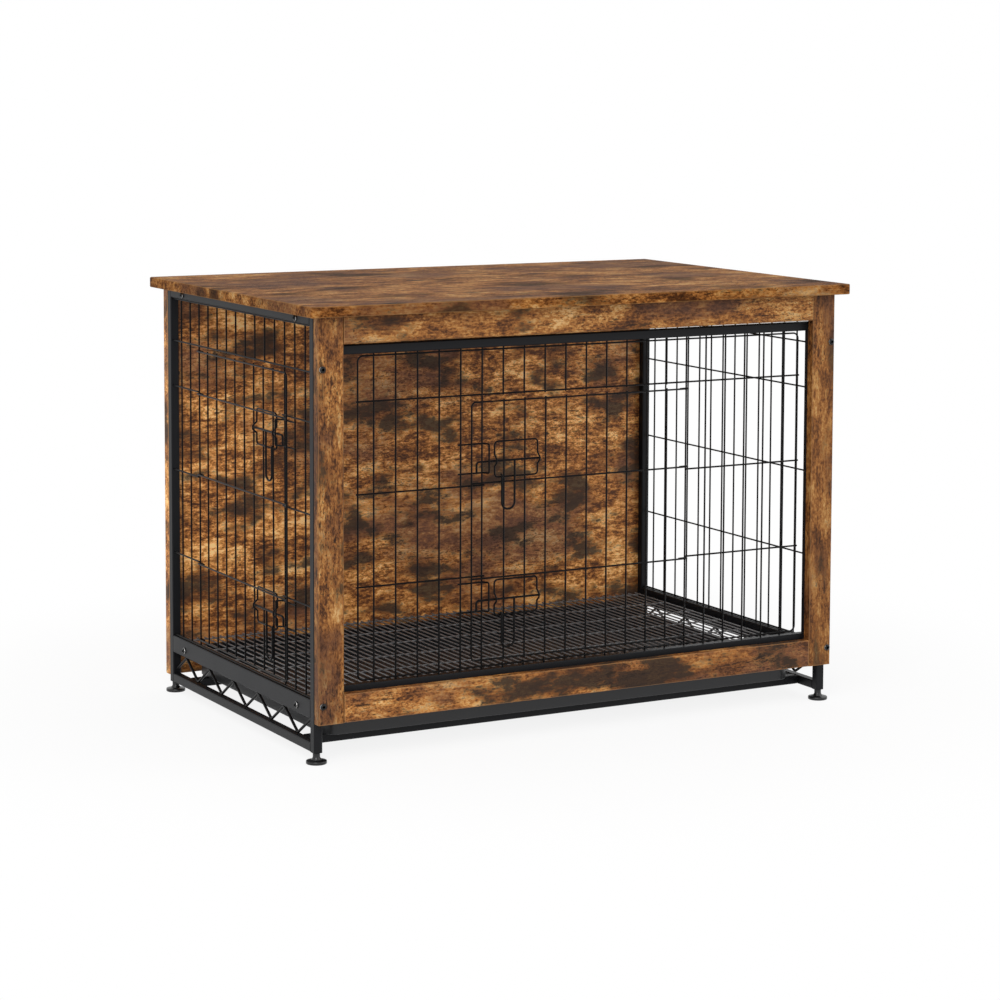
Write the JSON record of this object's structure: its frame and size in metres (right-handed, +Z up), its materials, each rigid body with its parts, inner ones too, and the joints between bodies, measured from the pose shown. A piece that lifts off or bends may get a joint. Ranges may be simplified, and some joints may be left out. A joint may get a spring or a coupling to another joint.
{
  "type": "dog crate end table",
  "caption": "Wood-topped wire dog crate end table with a front door, a side door, slide-bolt latches, a pull-out tray and levelling feet.",
  "frame": {"origin": "on the floor, under the middle of the table's bounding box", "axes": "+X to the right along the long side, +Y to the back, +Z up; the front door faces -Y and the other door faces -X"},
  "size_m": [0.864, 0.572, 0.62],
  "materials": {
    "rustic_wood": "satin rustic wood-grain board",
    "powder_coated_tube": "satin black powder coat",
    "black_wire": "satin black coating",
    "black_plastic": "matte",
    "dark_steel": "dark, worn bright at the rim"
  },
  "bodies": {
    "crate": {"tabletop": "rustic_wood", "back_panel": "rustic_wood", "front_top_rail": "rustic_wood", "front_bottom_rail": "rustic_wood", "front_post_left": "rustic_wood", "front_post_right": "rustic_wood", "front_frame_top_bar": "powder_coated_tube", "front_frame_bottom_bar": "powder_coated_tube", "front_frame_stile_left": "powder_coated_tube", "side_top_bar_left": "powder_coated_tube", "side_bottom_bar_left": "powder_coated_tube", "lower_rail_left": "powder_coated_tube", "leg_front_left": "powder_coated_tube", "leg_back_left": "powder_coated_tube", "front_frame_stile_right": "powder_coated_tube", "side_top_bar_right": "powder_coated_tube", "side_bottom_bar_right": "powder_coated_tube", "lower_rail_right": "powder_coated_tube", "leg_front_right": "powder_coated_tube", "leg_back_right": "powder_coated_tube", "top_cross_bar_front": "powder_coated_tube", "floor_cross_bar_front": "powder_coated_tube", "lower_cross_bar_front": "powder_coated_tube", "top_cross_bar_back": "powder_coated_tube", "floor_cross_bar_back": "powder_coated_tube", "lower_cross_bar_back": "powder_coated_tube", "front_grid": "black_wire", "left_grid": "black_wire", "right_grid": "black_wire", "floor_grid": "black_wire", "truss_left": "black_wire", "truss_right": "black_wire", "front_bolt_upper_left": "dark_steel", "front_bolt_lower_left": "dark_steel", "side_bolt_top_front_left": "dark_steel", "side_bolt_floor_front_left": "dark_steel", "back_bolt_upper_left": "dark_steel", "back_bolt_lower_left": "dark_steel", "side_bolt_top_back_left": "dark_steel", "side_bolt_floor_back_left": "dark_steel", "front_bolt_upper_right": "dark_steel", "front_bolt_lower_right": "dark_steel", "side_bolt_top_front_right": "dark_steel", "side_bolt_floor_front_right": "dark_steel", "back_bolt_upper_right": "dark_steel", "back_bolt_lower_right": "dark_steel", "side_bolt_top_back_right": "dark_steel", "side_bolt_floor_back_right": "dark_steel"},
    "front_door": {"front_door": "black_wire"},
    "left_door": {"left_door": "black_wire"},
    "tray": {"tray": "black_plastic"},
    "front_latch_upper": {"front_latch_upper": "black_wire"},
    "front_latch_lower": {"front_latch_lower": "black_wire"},
    "left_latch_upper": {"left_latch_upper": "black_wire"},
    "left_latch_lower": {"left_latch_lower": "black_wire"},
    "foot_front_left": {"foot_front_left": "black_plastic"},
    "foot_back_left": {"foot_back_left": "black_plastic"},
    "foot_front_right": {"foot_front_right": "black_plastic"},
    "foot_back_right": {"foot_back_right": "black_plastic"}
  },
  "joints": [
    {"name": "front_door_hinge", "type": "hinge", "parent": "crate", "child": "front_door", "pos_m": [0.17355, -0.24865, 0.29675], "axis": [0, 0, 1], "range_deg": [0, 170]},
    {"name": "left_door_hinge", "type": "hinge", "parent": "crate", "child": "left_door", "pos_m": [-0.40965, 0.14985, 0.30825], "axis": [0, 0, -1], "range_deg": [0, 170]},
    {"name": "front_latch_upper_slide", "type": "slide", "parent": "front_door", "child": "front_latch_upper", "axis": [1, 0.006, 0], "range_m": [0, 0.024]},
    {"name": "front_latch_lower_slide", "type": "slide", "parent": "front_door", "child": "front_latch_lower", "axis": [1, 0.006, 0], "range_m": [0, 0.024]},
    {"name": "left_latch_upper_slide", "type": "slide", "parent": "left_door", "child": "left_latch_upper", "axis": [0.0066, 1, 0], "range_m": [0, 0.022]},
    {"name": "left_latch_lower_slide", "type": "slide", "parent": "left_door", "child": "left_latch_lower", "axis": [0.0066, 1, 0], "range_m": [0, 0.022]},
    {"name": "tray_slide", "type": "slide", "parent": "crate", "child": "tray", "axis": [0, -1, 0], "range_m": [0, 0.4]},
    {"name": "foot_front_left_turn", "type": "hinge", "parent": "crate", "child": "foot_front_left", "pos_m": [-0.40965, -0.24865, 0], "axis": [0, 0, 1], "continuous": true},
    {"name": "foot_back_left_turn", "type": "hinge", "parent": "crate", "child": "foot_back_left", "pos_m": [-0.40965, 0.24865, 0], "axis": [0, 0, 1], "continuous": true},
    {"name": "foot_front_right_turn", "type": "hinge", "parent": "crate", "child": "foot_front_right", "pos_m": [0.40965, -0.24865, 0], "axis": [0, 0, 1], "continuous": true},
    {"name": "foot_back_right_turn", "type": "hinge", "parent": "crate", "child": "foot_back_right", "pos_m": [0.40965, 0.24865, 0], "axis": [0, 0, 1], "continuous": true}
  ]
}
